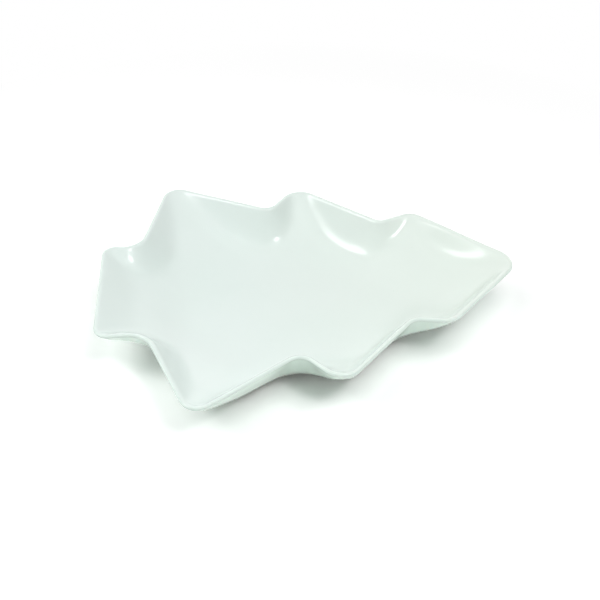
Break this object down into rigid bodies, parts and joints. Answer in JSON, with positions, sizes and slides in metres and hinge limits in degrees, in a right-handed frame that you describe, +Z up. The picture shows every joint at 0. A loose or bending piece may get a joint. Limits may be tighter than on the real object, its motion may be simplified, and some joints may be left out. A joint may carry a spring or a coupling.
{
  "type": "tree shaped serving dish",
  "caption": "Shallow stoneware serving dish in the shape of a fir tree, with tiers and a trunk, a rounded rim, a foot ring and a pale green gloss glaze.",
  "frame": {"origin": "on the table, below the middle of the dish's length and width", "axes": "+X from the trunk to the apex, +Y across the tiers, +Z up out of the dish"},
  "size_m": [0.2984, 0.249, 0.038],
  "materials": {
    "bare_clay": "unglazed fired stoneware",
    "glaze": "pale green gloss glaze"
  },
  "bodies": {
    "root": {"clay_body": "bare_clay", "foot_ring": "bare_clay", "inside_glaze": "glaze", "outside_glaze": "glaze", "base_glaze": "glaze"}
  },
  "joints": []
}
